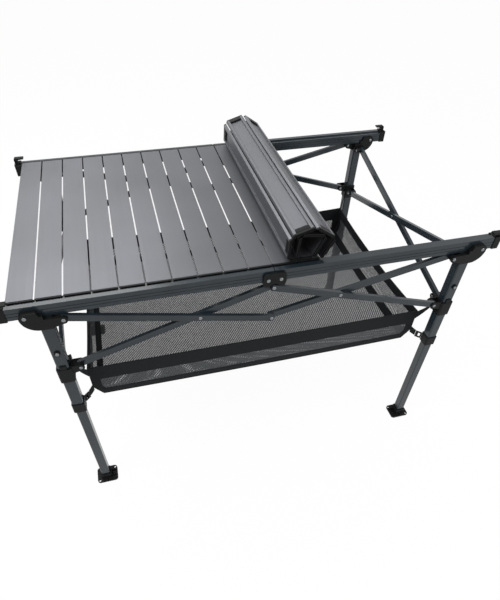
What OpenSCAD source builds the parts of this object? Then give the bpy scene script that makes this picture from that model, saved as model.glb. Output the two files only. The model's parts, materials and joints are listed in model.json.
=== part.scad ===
// Roll top camp table: aluminium slats that roll up, on a scissor frame with telescoping legs
// and a mesh basket slung between them. Millimetres, +Z up, +X along the table.
// The origin is on the floor under the middle of the table. Near is -Y, left is -X.

/* [Slats] */
// Height of the slat surface above the floor
top_h = 725; // [680:1:780]
// Distance from one slat to the next
slat_pitch = 58; // [56:0.5:60]
// Gap between two slats
slat_gap = 2.6; // [2.2:0.1:4]
// Length of a slat over its end caps
slat_len = 651; // [620:1:690]
// Thickness of a slat
slat_t = 6.5; // [5.5:0.1:6.8]
// How far a slat's underside is drawn in along each edge
slat_taper = 3.7; // [3.4:0.1:5]
// Thickness of a slat's upper skin
slat_skin = 1.6; // [1:0.1:2.4]
// Width of the rib along each edge of a slat
slat_rib = 7; // [4:0.5:10]
// Length of the end cap beyond the slat
cap_len = 5; // [3:0.5:8]
// Length of the cap's tongue under the slat's skin
tongue_len = 16; // [8:1:30]

/* [Rails] */
// Width of a rail
rail_w = 26; // [24:0.5:30]
// Height of a rail
rail_h = 30.5; // [28:0.5:31]
// Drop from the slat surface to the rail's upper strip
rail_drop = 3; // [2:0.5:5]
// Width of the strip beside the slat ends
strip_w = 13; // [10:0.5:16]
// Gap between the slat ends and the strip
strip_gap = 2.5; // [1.5:0.5:4]
// Wall of a rail
rail_wall = 1.8; // [1.2:0.1:2.5]
// Length of rail past the last slat, end cap included
rail_overrun = 20; // [16:1:30]
// Gap between the two halves of a rail
rail_split = 2; // [1:0.5:4]

/* [Legs] */
// Side of the outer tube
leg_w = 28; // [26:0.5:30]
// Corner radius of the tubes
leg_r = 4; // [2:0.5:6]
// Wall of the outer tube
leg_wall = 1.5; // [1.2:0.1:2]
// Gap between the inner and the outer tube
leg_slip = 0.3; // [0.3:0.1:0.6]
// Wall of the inner tube
inner_wall = 1.4; // [1:0.1:2]
// Distance from the end of the slats to the leg
leg_back = 69; // [62:1:80]
// Distance from the rail's outer face in to the middle of the leg
leg_in = 5; // [3:0.5:8]
// Drop from the slat surface to the lower end of the outer tube
outer_leg_drop = 360; // [340:1:400]
// Drop from the slat surface to the locking button
button_drop = 140; // [138:1:160]
// Travel of the inner tube into the outer one
leg_travel = 90; // [60:1:92]
// Radius of the locking button
button_r = 4.5; // [4:0.5:7]
// Travel of the locking button
button_travel = 3; // [2:0.5:4]
// Length of a foot plate along the table
foot_l = 62; // [56:1:75]
// Width of a foot plate
foot_w = 52; // [46:1:60]
// Thickness of a foot plate
foot_t = 6; // [4:0.5:9]
// Radius of the stake holes in a foot plate
stake_r = 3.5; // [2.5:0.5:4]

/* [Scissor frame] */
// Width of a scissor bar
bar_w = 17; // [14:0.5:18]
// Thickness of a scissor bar
bar_t = 9; // [7:0.5:9.5]
// Gap between the two layers of bars
layer_gap = 0.8; // [0.6:0.1:1.5]
// Radius of the rivets
rivet_r = 3; // [2.5:0.25:3.5]
// Gap between a rivet and its hole
rivet_slip = 0.2; // [0.1:0.05:0.4]
// Distance from the leg to the long bars' pivot
long_arm = 38; // [36:1:46]
// Distance from the leg to the short bars' pivot
short_arm = 36; // [34:1:44]
// Drop from the slat surface to the long bars' upper pivot
long_top_drop = 44; // [43:0.5:48]
// Drop from the slat surface to the long bars' slider pivot
long_slider_drop = 202; // [190:1:215]
// Drop from the slat surface to the upper centre pin
high_pin_drop = 52; // [50:0.5:56]
// Drop from the slat surface to the lower centre rivet
low_pin_drop = 148; // [135:1:160]
// Drop from the slat surface to the short bars' upper pivot
short_top_drop = 52; // [50:0.5:58]
// Drop from the slat surface to the short bars' slider pivot
short_slider_drop = 212; // [200:1:222]
// Radius of the fan on a leg bracket
fan_r = 37; // [33:0.5:42]
// Wall of the leg brackets, sliders and collars
plastic_wall = 3.4; // [2.8:0.1:4.5]

/* [Basket] */
// Length of the basket
basket_l = 910; // [860:2:930]
// Width of the basket
basket_w = 590; // [540:2:600]
// Depth of the basket
basket_d = 112; // [90:1:125]
// Drop from the slat surface to the basket's top edge
basket_drop = 266; // [260:1:285]
// Thickness of the basket's mesh
mesh_t = 1.6; // [1:0.1:2.5]
// Thickness of the webbing sewn on the mesh
web_t = 1.6; // [1:0.1:2.5]
// Depth of the webbing along the long top edges
hem_long = 46; // [30:1:50]
// Depth of the webbing along the short top edges
hem_short = 30; // [20:1:40]
// Width of the webbing along the bottom edges and corners
hem_low = 22; // [14:1:28]
// Width of the corner straps
strap_w = 22; // [14:1:26]

/* [Hidden] */
$fn = 48;
// Turn from one rolled slat to the next, from the flat top to the innermost slat
ROLL_TURNS = [60, 86.5, 50, 71, 92.5, 64.5, 109, 91];
FLAT_COUNT = 12;
CORNERS = ["near_left", "near_right", "far_left", "far_right"];

// Colours of the finishes
ALU = "#8E9095";
COAT = "#3B4146";
PLASTIC = "#1C1E1F";
STEEL = "#C9CBCC";
MESH = "#6F7173";
WEB = "#232526";

// Slats
HINGE_DROP = 0.6;
SEAT_GAP = 0.3;
FIT = 0.1;
top_l = (FLAT_COUNT + len(ROLL_TURNS)) * slat_pitch;
hinge_z = top_h - HINGE_DROP;
roll_x = -top_l / 2 + FLAT_COUNT * slat_pitch;

// Rails
rail_out = slat_len / 2 + strip_gap + strip_w;
rail_in = rail_out - rail_w;
rail_top = top_h - rail_drop;
rail_low = rail_top - rail_h;
ledge_z = top_h - slat_t - SEAT_GAP;
table_half = top_l / 2 + rail_overrun;
END_WALL = 5;
END_SKIN = 2;
END_GAP = 2;
LIP_H = 12;
LIP_L = 9;
LIP_HOOK = 18;
LIP_HOOK_T = 4;
GROOVE = [2.2, 0.8];
groove_zs = [rail_low + rail_h * 0.34, rail_low + rail_h * 0.6];

// Legs
leg_x = top_l / 2 - leg_back;
leg_y = rail_out - leg_in;
leg_hole = leg_w - 2 * leg_wall;
inner_w = leg_hole - 2 * leg_slip;
button_z = top_h - button_drop;
inner_top = button_z + 8;
outer_low = top_h - outer_leg_drop;
COLLAR_H = 30;
COLLAR_LIP = 4;
collar_wall = plastic_wall - 1;
PIN_R = 3;
RING_T = 4;
RING_W = 2.4;
BUTTON_PROUD = 2.2;
FOOT_R = 9;
FOOT_SOCKET = 20;
FOOT_SHIFT = 2;
RIB_T = 3;
RIB_H = 4;
RIB_INSET = 4;
STAKE_WALL = 3;
LEG_TOP_GAP = 4;
leg_top = rail_low - LEG_TOP_GAP;

// Pivots of the scissor frame
layer = (bar_t + layer_gap) / 2;
CHEEK = 3.2;
cheek_in = layer + bar_t / 2 + 0.4;
cheek_out = cheek_in + CHEEK;
long_x = leg_x - long_arm;
short_y = leg_y - short_arm;
SHORT_SHIFT = 1;
short_x = leg_x - SHORT_SHIFT;
RAIL_RIVET = [36, 25];
CENTRE_RIVET = [15.5, 27];
BRACKET_FALL = 28.5;
bracket_low = rail_low - BRACKET_FALL;
BRACKET_TOE = 3;
FAN_SHIFT = 10;
FAN_STEP = [3, 8];
FAN_DROP = 0.5;
COVER_T = 2.8;
FORK_FALL = 6;
FORK_BACK = 3;
SLIDER_RISE = 6;
SLIDER_FALL = 28;
SLIDER_TAB = [15, 12];
TAB_INSET = 0.6;
slider_high = top_h - long_slider_drop + SLIDER_RISE;
slider_low = top_h - short_slider_drop - SLIDER_FALL;
boss_r = bar_w / 2 + 0.6;
bracket_side = rail_out + 0.4;
bracket_back = rail_in - 0.4;
bracket_face = leg_y + leg_w / 2 + COVER_T;
cheek_wall = plastic_wall + 1.8;
slider_w = leg_w + 0.6 + 2 * plastic_wall;
POST_R = 3.5;
post_in = slider_w / 2 - 1;
// Where the two bars of a pair cross, as a share of the way from the middle to the leg
cross_share = (low_pin_drop - high_pin_drop)
    / (low_pin_drop - long_top_drop + long_slider_drop - high_pin_drop);
cross_at = long_x * cross_share;
cross_z = top_h - low_pin_drop + (low_pin_drop - long_top_drop) * cross_share;

// Basket
basket_top = top_h - basket_drop;
basket_low = basket_top - basket_d;
SEAM = 0.2;
STRAP_T = 1.6;
STRAP_TUCK = 0.55;
TAB_END = 12;

// Corner names carry the signs of X and Y
function sign_x(c) = c == "near_left" || c == "far_left" ? -1 : 1;
function sign_y(c) = c == "near_left" || c == "near_right" ? -1 : 1;
// The two sides of the frame are half a turn apart, so the outer layer is on one diagonal
function outer_layer(c) = sign_x(c) == sign_y(c) ? 1 : -1;

module flip(sx, sy) {
    if (sx < 0) mirror([1, 0, 0]) flip(1, sy) children();
    else if (sy < 0) mirror([0, 1, 0]) children();
    else children();
}
module to_corner(c) flip(sign_x(c), sign_y(c)) children();
// A profile of X and Z, drawn from one Y to another
module slab(y0, y1) translate([0, y1, 0]) rotate([90, 0, 0]) linear_extrude(y1 - y0) children();
// A pin along Y or along X
module pin_y(x, z, y0, y1, r) translate([x, y1, z]) rotate([90, 0, 0]) cylinder(h = y1 - y0, r = r);
module pin_x(y, z, x0, x1, r) translate([x0, y, z]) rotate([0, 90, 0]) cylinder(h = x1 - x0, r = r);
module round_square(w, d, r) {
    square([w - 2 * r, d], center = true);
    square([w, d - 2 * r], center = true);
    for (x = [-1, 1], y = [-1, 1]) translate([x * (w / 2 - r), y * (d / 2 - r)]) circle(r);
}
module tube(w, wall, r, z0, z1) translate([0, 0, z0]) linear_extrude(z1 - z0) difference() {
    round_square(w, w, r);
    round_square(w - 2 * wall, w - 2 * wall, max(r - wall, 0.6));
}

// Slats: a skin on two ribs, tapered so that they can roll, with a plastic cap in each end
slat_a = slat_gap / 2;
slat_b = slat_pitch - slat_gap / 2;
slat_top = HINGE_DROP;
slat_low = HINGE_DROP - slat_t;
module slat_outline() polygon([[slat_a, slat_top], [slat_b, slat_top],
    [slat_b - slat_taper, slat_low], [slat_a + slat_taper, slat_low]]);
module slat_channel(gap) translate([slat_a + slat_taper + slat_rib + gap, slat_low - 1])
    square([slat_b - slat_a - 2 * (slat_taper + slat_rib + gap), slat_t - slat_skin - gap + 1]);
module slat() slab(cap_len + FIT - slat_len / 2, slat_len / 2 - cap_len - FIT) difference() {
    slat_outline();
    slat_channel(0);
}
module slat_caps() for (s = [1, -1]) flip(1, s) {
    slab(slat_len / 2 - cap_len, slat_len / 2) slat_outline();
    slab(slat_len / 2 - cap_len - tongue_len, slat_len / 2 - cap_len + 1) intersection() {
        slat_outline();
        slat_channel(FIT);
    }
}
function heading(k) = k < 0 ? 0 : ROLL_TURNS[k] + heading(k - 1);
function roll_step(k) = slat_pitch * [cos(heading(k)), sin(heading(k))];
function roll_hinge(k) = k == 0 ? [roll_x, hinge_z] : roll_hinge(k - 1) + roll_step(k - 1);
module flat_places() for (k = [0:FLAT_COUNT - 1])
    translate([k * slat_pitch - top_l / 2, 0, hinge_z]) children();
module flat_slats() color(ALU) flat_places() slat();
module flat_slat_caps() color(PLASTIC) flat_places() slat_caps();
// A rolled slat's caps have a knuckle on the hinge line, beside the slat before it
module knuckles() for (s = [1, -1]) flip(1, s) slab(slat_len / 2 - cap_len, slat_len / 2) {
    circle(slat_gap / 2 - SEAT_GAP);
    translate([0, -HINGE_DROP]) square([slat_a + slat_taper / 2, HINGE_DROP]);
}
module roll_slat(k) translate([roll_hinge(k)[0], 0, roll_hinge(k)[1]]) rotate([0, -heading(k), 0]) {
    color(ALU) slat();
    color(PLASTIC) slat_caps();
    color(PLASTIC) knuckles();
}

// Rails: a hollow section with a ledge under the slat ends and grooves along its faces
module rail_outline() polygon([[rail_in, rail_low], [rail_out, rail_low], [rail_out, rail_top],
    [rail_out - strip_w, rail_top], [rail_out - strip_w, ledge_z], [rail_in, ledge_z]]);
module rail_profile() difference() {
    rail_outline();
    translate([rail_in + rail_wall, rail_low + rail_wall])
        square([rail_w - 2 * rail_wall, ledge_z - rail_low - 2 * rail_wall]);
    for (z = groove_zs, y = [rail_in, rail_out]) translate([y, z])
        square([2 * GROOVE[1], GROOVE[0]], center = true);
}
module along_x(x0, x1) translate([x0, 0, 0]) rotate([90, 0, 90]) linear_extrude(x1 - x0) children();
rail_rivet_x = leg_x + RAIL_RIVET[0];
rail_rivet_z = top_h - RAIL_RIVET[1];
centre_rivet_z = top_h - CENTRE_RIVET[1];
module rail(c) color(COAT) to_corner(c) difference() {
    along_x(rail_split / 2, table_half - END_WALL) rail_profile();
    for (p = [[rail_rivet_x, rail_rivet_z], [CENTRE_RIVET[0], centre_rivet_z]])
        pin_y(p[0], p[1], rail_in - 1, rail_out + 1, rivet_r + rivet_slip);
}
// End caps: a sleeve over the rail's end with a hooked lip that keeps the slats on the frame
end_x = top_l / 2 + END_GAP;
module end_cap_hook() polygon([[table_half - LIP_L, 0], [table_half - 2, 0], [table_half, 2],
    [table_half, LIP_H - 3], [table_half - 3, LIP_H], [table_half - LIP_L - LIP_HOOK, LIP_H],
    [table_half - LIP_L - LIP_HOOK, LIP_H - LIP_HOOK_T], [table_half - LIP_L, LIP_H - LIP_HOOK_T - 1.5]]);
module rail_end_caps() color(PLASTIC) for (c = CORNERS) to_corner(c) {
    difference() {
        along_x(end_x, table_half) translate([rail_in - END_SKIN, rail_low - END_SKIN])
            square([rail_w + 2 * END_SKIN, rail_h + 2 * END_SKIN]);
        along_x(end_x - 1, table_half - END_WALL) rail_outline();
        translate([end_x - 1, rail_in - END_SKIN - 1, ledge_z + END_SKIN])
            cube([table_half - END_WALL - end_x + 1, rail_w - strip_w + 1, rail_h]);
    }
    translate([0, 0, rail_top + END_SKIN]) slab(rail_out - strip_w + 1, rail_out + END_SKIN) end_cap_hook();
}

// Centre bracket: a saddle over the joint of two rail halves, arched over the upper centre pin
SADDLE = [28, 8, 46];
SADDLE_R = 9;
ARCH_R = 14;
module saddle_outline() translate([0, top_h]) difference() {
    translate([0, -(SADDLE[1] + SADDLE[2]) / 2]) round_square(2 * SADDLE[0], SADDLE[2] - SADDLE[1], SADDLE_R);
    translate([0, -high_pin_drop]) circle(ARCH_R);
}
module centre_bracket(side) color(PLASTIC) flip(1, side) difference() {
    union() {
        slab(bracket_side, bracket_side + cheek_wall) saddle_outline();
        slab(bracket_back - cheek_wall, bracket_back) saddle_outline();
        slab(bracket_back - 1, bracket_side + 1) intersection() {
            saddle_outline();
            translate([-SADDLE[0], rail_low - SEAT_GAP - plastic_wall]) square([2 * SADDLE[0], plastic_wall]);
        }
    }
    for (x = [-1, 1]) pin_y(x * CENTRE_RIVET[0], centre_rivet_z, bracket_back - cheek_wall - 1,
        bracket_side + cheek_wall + 1, rivet_r + rivet_slip);
}

// Leg bracket: two fan-shaped cheeks beside the rail, a block that the leg fits in and forks for the bars
fork_root = leg_w / 2 + plastic_wall;
fan_tip = fan_r + FAN_SHIFT - RAIL_RIVET[0];
module fan_outline() {
    translate([RAIL_RIVET[0], rail_rivet_z]) circle(fan_tip);
    intersection() {
        translate([FAN_SHIFT, rail_rivet_z]) circle(fan_r);
        translate([0, rail_rivet_z - fan_r]) square([fan_r + FAN_SHIFT, fan_r]);
    }
    polygon([[RAIL_RIVET[0], rail_rivet_z + fan_tip], [FAN_STEP[0] + FAN_STEP[1], rail_rivet_z + fan_tip],
        [FAN_STEP[0], rail_low - FAN_DROP], [-fork_root, rail_low - FAN_DROP],
        [-fork_root, bracket_low], [FAN_SHIFT, bracket_low], [RAIL_RIVET[0], rail_rivet_z]]);
}
// The arm of a fork, from a leg to a pivot at [reach, z], as an outline of X and Z
module arm_outline(reach, z) translate([0, z]) {
    translate([-reach, 0]) circle(boss_r);
    polygon([[-reach, boss_r], [-fork_root + 1, boss_r],
        [-fork_root + 1, -boss_r - FORK_FALL], [-reach, -boss_r]]);
}
// Two cheeks either side of the bar, the outer one out to a face, and a spacer in the layer without a bar
module fork(reach, z, free_layer, face = cheek_out) difference() {
    union() {
        slab(cheek_in, face) arm_outline(reach, z);
        slab(-cheek_out, -cheek_in) arm_outline(reach, z);
        flip(1, free_layer) slab(layer_gap / 2 + rivet_slip, cheek_in)
            translate([-reach, z]) circle(boss_r - 1);
        slab(-cheek_out, face) translate([-fork_root, z - boss_r - FORK_FALL])
            square([FORK_BACK, 2 * boss_r + FORK_FALL]);
    }
    pin_y(-reach, z, -cheek_out - 1, face + 1, rivet_r + rivet_slip);
}
module long_fork(z, free_layer, face = cheek_out) translate([leg_x, leg_y, 0])
    fork(long_arm, z, free_layer, face);
module short_fork(z, free_layer) translate([short_x, leg_y, 0]) rotate([0, 0, 90])
    fork(short_arm, z, free_layer);
module leg_bracket(c) color(PLASTIC) to_corner(c) {
    translate([leg_x, 0, 0]) difference() {
        union() {
            slab(bracket_side, bracket_face) fan_outline();
            slab(bracket_back - cheek_wall, bracket_back) fan_outline();
            slab(bracket_back - 1, bracket_side + 1) translate([-fork_root, bracket_low])
                square([fork_root + leg_w / 2 + BRACKET_TOE, rail_low - SEAT_GAP - bracket_low]);
        }
        translate([0, leg_y, bracket_low - 1]) linear_extrude(leg_top - bracket_low + 1)
            round_square(leg_w, leg_w, leg_r);
        pin_y(RAIL_RIVET[0], rail_rivet_z, bracket_back - cheek_wall - 1, bracket_face + 1,
            rivet_r + rivet_slip);
    }
    long_fork(top_h - long_top_drop, -outer_layer(c), bracket_face - leg_y);
    short_fork(top_h - short_top_drop, sign_y(c));
}

// Legs: an outer tube under the bracket, a slider that runs on it and an inner tube with a foot
module outer_leg(c) color(COAT) to_corner(c) translate([leg_x, leg_y, 0]) difference() {
    tube(leg_w, leg_wall, leg_r, outer_low, leg_top);
    pin_y(0, button_z, leg_w / 2 - leg_wall - 1, leg_w / 2 + 1, PIN_R + leg_slip);
}
module slider(c) color(PLASTIC) to_corner(c) {
    translate([leg_x, leg_y, 0]) {
        tube(slider_w, plastic_wall, leg_r + 2, slider_low, slider_high);
        translate([0, slider_w / 2 - plastic_wall / 2, slider_high - 1]) linear_extrude(SLIDER_TAB[1] + 1)
            round_square(SLIDER_TAB[0], plastic_wall - 2 * TAB_INSET, TAB_INSET);
        translate([-post_in, -post_in, slider_low]) cylinder(h = TAB_END + 2, r = POST_R);
    }
    long_fork(top_h - long_slider_drop, outer_layer(c));
    short_fork(top_h - short_slider_drop, -sign_y(c));
}
module leg_collars() color(PLASTIC) for (c = CORNERS) to_corner(c) translate([leg_x, leg_y, 0]) {
    translate([0, 0, outer_low - COLLAR_LIP]) {
        tube(leg_w + 2 * collar_wall, collar_wall, leg_r + 1, 0, COLLAR_H);
        tube(leg_w + 1, leg_wall + 0.5 - FIT, leg_r, 0, COLLAR_LIP);
    }
}
module button_rings() color(PLASTIC) for (c = CORNERS) to_corner(c)
    translate([leg_x, leg_y, 0]) difference() {
        pin_y(0, button_z, leg_w / 2, leg_w / 2 + RING_T, button_r + RING_W);
        pin_y(0, button_z, leg_w / 2 - 1, leg_w / 2 + RING_T + 1, button_r + leg_slip);
    }
module lock_button(c) color(STEEL) to_corner(c) translate([leg_x, leg_y, 0]) {
    pin_y(0, button_z, leg_w / 2 + button_travel + leg_slip, leg_w / 2 + RING_T + BUTTON_PROUD - 1, button_r);
    translate([0, leg_w / 2 + RING_T + BUTTON_PROUD - 1, button_z]) rotate([-90, 0, 0])
        cylinder(h = 1, r1 = button_r, r2 = button_r - 1);
    pin_y(0, button_z, leg_w / 2 - leg_wall, leg_w / 2 + button_travel + 1, PIN_R);
}
module inner_leg(c) color(COAT) to_corner(c) translate([leg_x, leg_y, 0]) difference() {
    tube(inner_w, inner_wall, leg_r - leg_wall, foot_t, inner_top);
    for (z = [button_z, button_z - leg_travel])
        pin_y(0, z, inner_w / 2 - inner_wall - 1, inner_w / 2 + 1, PIN_R + 0.6);
}
// Foot: a plate with a socket, ribs to its corners and two holes for stakes
stake_at = [foot_l / 2 - stake_r - STAKE_WALL, foot_w / 2 - stake_r - STAKE_WALL];
module foot(c) color(PLASTIC) to_corner(c) translate([leg_x, leg_y, 0]) difference() {
    union() {
        translate([-FOOT_SHIFT, 0, 0]) linear_extrude(foot_t) round_square(foot_l, foot_w, FOOT_R);
        tube(inner_w + 2 * plastic_wall, plastic_wall, leg_r, foot_t - 1, foot_t + FOOT_SOCKET);
        for (s = [-1, 1]) flip(1, s) {
            translate([RIB_INSET - foot_l / 2 - FOOT_SHIFT, inner_w / 2 - 3 * RIB_T / 2, foot_t - 1])
                cube([foot_l / 2 + FOOT_SHIFT - inner_w / 2 - RIB_INSET - 1, RIB_T, RIB_H + 1]);
            translate([-RIB_T / 2, inner_w / 2 + 1, foot_t - 1])
                cube([RIB_T, foot_w / 2 - inner_w / 2 - RIB_INSET, RIB_H + 1]);
        }
    }
    for (s = [-1, 1]) translate([s * stake_at[0] - FOOT_SHIFT, s * stake_at[1], -1])
        cylinder(h = foot_t + RIB_H + 2, r = stake_r);
}

// Scissor bars: flat bars with square ends, pinned near both ends and where they cross
BAR_END = 6;
BAR_R = 2;
module bar_outline(a, b) translate((a + b) / 2) rotate(atan2(b[1] - a[1], b[0] - a[0]))
    round_square(norm(b - a) + 2 * BAR_END, bar_w, BAR_R);
module bar(a, b, m) difference() {
    slab(-bar_t / 2, bar_t / 2) bar_outline(a, b);
    for (p = [a, b, m]) pin_y(p[0], p[1], -bar_t / 2 - 1, bar_t / 2 + 1, rivet_r + rivet_slip);
}
cross_p = [cross_at, cross_z];
module top_bar(c) color(COAT) to_corner(c) translate([0, leg_y + outer_layer(c) * layer, 0])
    bar([long_x, top_h - long_top_drop], [0, top_h - low_pin_drop], cross_p);
module slider_bar(c) color(COAT) to_corner(c) translate([0, leg_y - outer_layer(c) * layer, 0])
    bar([long_x, top_h - long_slider_drop], [0, top_h - high_pin_drop], cross_p);
short_mid = [0, top_h - (short_top_drop + short_slider_drop) / 2];
module cross_bar(side, rise) color(COAT) flip(side, 1)
    translate([short_x - rise * layer, 0, 0]) rotate([0, 0, 90]) bar(
        [-rise * short_y, top_h - short_top_drop], [rise * short_y, top_h - short_slider_drop], short_mid);

// Rivets: a shank with a domed head on each end
HEAD_R = 5.2;
HEAD_T = 1.8;
module rivet(y0, y1) {
    pin_y(0, 0, y0, y1, rivet_r);
    for (s = [-1, 1]) translate([0, s > 0 ? y1 : y0, 0]) rotate([-s * 90, 0, 0])
        cylinder(h = HEAD_T, r1 = HEAD_R, r2 = HEAD_R - 2);
}
module frame_rivets() color(STEEL) {
    for (c = CORNERS) to_corner(c) {
        translate([rail_rivet_x, 0, rail_rivet_z])
            rivet(bracket_back - cheek_wall, bracket_face);
        translate([long_x, leg_y, top_h - long_top_drop]) rivet(-cheek_out, bracket_face - leg_y);
        translate([long_x, leg_y, top_h - long_slider_drop]) rivet(-cheek_out, cheek_out);
        for (z = [short_top_drop, short_slider_drop]) translate([short_x, short_y, top_h - z])
            rotate([0, 0, 90]) rivet(-cheek_out, cheek_out);
        translate([cross_at, leg_y, cross_z]) rivet(-layer - bar_t / 2, layer + bar_t / 2);
        translate([CENTRE_RIVET[0], 0, centre_rivet_z])
            rivet(bracket_back - cheek_wall, bracket_side + cheek_wall);
    }
    for (s = [-1, 1]) flip(1, s) for (z = [high_pin_drop, low_pin_drop]) translate([0, leg_y, top_h - z])
        rivet(-layer - bar_t / 2, layer + bar_t / 2);
    for (s = [-1, 1]) flip(s, 1) translate([short_x, 0, short_mid[1]]) rotate([0, 0, 90])
        rivet(-layer - bar_t / 2, layer + bar_t / 2);
}

// Basket: five mesh panels sewn together under webbing, hung on straps from sliders and collars
module basket_mesh() color(MESH) {
    translate([-basket_l / 2 + mesh_t + SEAM, -basket_w / 2 + mesh_t + SEAM, basket_low])
        cube([basket_l - 2 * (mesh_t + SEAM), basket_w - 2 * (mesh_t + SEAM), mesh_t]);
    for (s = [-1, 1]) flip(1, s) translate([-basket_l / 2, basket_w / 2 - mesh_t, basket_low])
        cube([basket_l, mesh_t, basket_d]);
    for (s = [-1, 1]) flip(s, 1) translate([basket_l / 2 - mesh_t, -basket_w / 2 + mesh_t + SEAM, basket_low])
        cube([mesh_t, basket_w - 2 * (mesh_t + SEAM), basket_d]);
}
module basket_webbing() color(WEB) {
    for (s = [-1, 1]) flip(1, s) {
        translate([-basket_l / 2, basket_w / 2, basket_top - hem_long]) cube([basket_l, web_t, hem_long]);
        translate([-basket_l / 2, basket_w / 2, basket_low]) cube([basket_l, web_t, hem_low]);
    }
    for (s = [-1, 1]) flip(s, 1) {
        translate([basket_l / 2, -basket_w / 2, basket_top - hem_short]) cube([web_t, basket_w, hem_short]);
        translate([basket_l / 2, -basket_w / 2, basket_low]) cube([web_t, basket_w, hem_low]);
    }
    for (c = CORNERS) to_corner(c) {
        translate([basket_l / 2 - hem_low, basket_w / 2, basket_low + hem_low - 1])
            cube([hem_low, web_t, basket_d - hem_low - hem_long + 2]);
        translate([basket_l / 2, basket_w / 2 - hem_low, basket_low + hem_low - 1])
            cube([web_t, hem_low, basket_d - hem_low - hem_short + 2]);
    }
}
// The straps start in the open corner between two strips of webbing
strap_root = [basket_l / 2 + web_t - STRAP_TUCK, basket_w / 2 + web_t - STRAP_TUCK];
function unit(v) = v / norm(v);
// A flat strap on edge, hulled between two upright ends of their own widths
module strap(p, q, root_w, end_w) hull() for (e = [[p, 0, root_w], [q, -1, end_w]]) translate(e[0])
    rotate([0, 0, atan2(q[1] - p[1], q[0] - p[0])])
        translate([e[1], -STRAP_T / 2, -e[2] / 2]) cube([1, STRAP_T, e[2]]);
// Tapered tabs reach from the basket's upper corners to the posts on the sliders, and straps from its
// lower corners to the hooks on the collars
post = [leg_x - post_in, leg_y - post_in];
post_end = post - (POST_R + SEAT_GAP) * unit(post - strap_root);
HOOK_L = 18;
HOOK_T = 4;
HOOK_RIM = 4;
hook_z = outer_low + 10;
collar_reach = (leg_w / 2 + plastic_wall - leg_r - 2) * sqrt(2) + leg_r + 1 + SEAT_GAP;
hook_end = [leg_x, leg_y] - (collar_reach + HOOK_L + 2 * SEAT_GAP) * [sqrt(0.5), sqrt(0.5)];
module basket_straps() color(WEB) for (c = CORNERS) to_corner(c) {
    strap(concat(strap_root, basket_top - hem_short / 2), concat(post_end, slider_low + TAB_END / 2),
        hem_short, TAB_END);
    strap(concat(strap_root, basket_low + strap_w / 2), concat(hook_end, hook_z), strap_w, strap_w);
}
// Hooks: a flat buckle with a window, from the lower strap to the collar
module basket_hooks() color(PLASTIC) for (c = CORNERS) to_corner(c)
    translate([leg_x, leg_y, hook_z]) rotate([0, 0, 45]) translate([-collar_reach - HOOK_L, 0, 0])
        difference() {
            translate([0, -HOOK_T / 2, -strap_w / 2]) cube([HOOK_L, HOOK_T, strap_w]);
            translate([HOOK_L / 2 - 1, -HOOK_T, HOOK_RIM - strap_w / 2])
                cube([HOOK_L / 2 - HOOK_RIM + 1, 2 * HOOK_T, strap_w - 2 * HOOK_RIM]);
        }

flat_slats();
flat_slat_caps();
for (k = [1:len(ROLL_TURNS)]) roll_slat(k - 1);
for (c = CORNERS) {
    rail(c);
    leg_bracket(c);
    outer_leg(c);
    slider(c);
    inner_leg(c);
    foot(c);
    lock_button(c);
    top_bar(c);
    slider_bar(c);
}
rail_end_caps();
centre_bracket(-1);  // centre_bracket_near
centre_bracket(1);  // centre_bracket_far
leg_collars();
button_rings();
cross_bar(-1, 1);  // cross_bar_left_1
cross_bar(-1, -1);  // cross_bar_left_2
cross_bar(1, 1);  // cross_bar_right_1
cross_bar(1, -1);  // cross_bar_right_2
frame_rivets();
basket_mesh();
basket_webbing();
basket_straps();
basket_hooks();
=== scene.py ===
"""Dresses the frame of a roll top camp table: satin slats, coated scissor frame and slung mesh basket."""

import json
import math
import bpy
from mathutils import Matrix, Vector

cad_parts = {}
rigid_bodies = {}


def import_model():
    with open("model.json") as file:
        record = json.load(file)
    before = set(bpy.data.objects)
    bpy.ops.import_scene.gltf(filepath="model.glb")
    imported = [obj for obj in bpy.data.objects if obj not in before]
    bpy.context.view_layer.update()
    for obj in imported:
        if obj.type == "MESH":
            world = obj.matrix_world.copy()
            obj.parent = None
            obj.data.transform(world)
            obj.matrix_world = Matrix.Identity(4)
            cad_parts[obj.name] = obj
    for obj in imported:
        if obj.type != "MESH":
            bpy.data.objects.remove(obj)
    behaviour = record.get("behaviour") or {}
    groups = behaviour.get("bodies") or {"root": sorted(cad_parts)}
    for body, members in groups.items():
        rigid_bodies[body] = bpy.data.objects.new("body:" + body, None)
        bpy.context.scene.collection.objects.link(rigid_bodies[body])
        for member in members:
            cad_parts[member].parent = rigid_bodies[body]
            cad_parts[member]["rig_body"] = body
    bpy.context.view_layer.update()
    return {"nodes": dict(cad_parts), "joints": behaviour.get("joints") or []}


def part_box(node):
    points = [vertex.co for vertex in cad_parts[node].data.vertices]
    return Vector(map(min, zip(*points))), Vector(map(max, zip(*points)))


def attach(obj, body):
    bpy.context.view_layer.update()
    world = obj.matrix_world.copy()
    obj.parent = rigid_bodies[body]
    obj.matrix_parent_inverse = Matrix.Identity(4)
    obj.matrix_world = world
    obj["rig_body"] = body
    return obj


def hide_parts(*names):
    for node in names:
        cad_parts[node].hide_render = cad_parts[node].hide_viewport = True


bl_info = {
    "name": "Roll Top Camp Table",
    "version": (1, 0, 0),
    "blender": (4, 5, 0),
    "location": "View3D > Sidebar > Camp Table",
    "description": "Slats, coated frame and mesh basket of a roll top camp table",
    "category": "Object",
}

import bmesh
import bpy
from mathutils import Matrix, Vector

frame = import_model()
MM = 0.001

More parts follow.
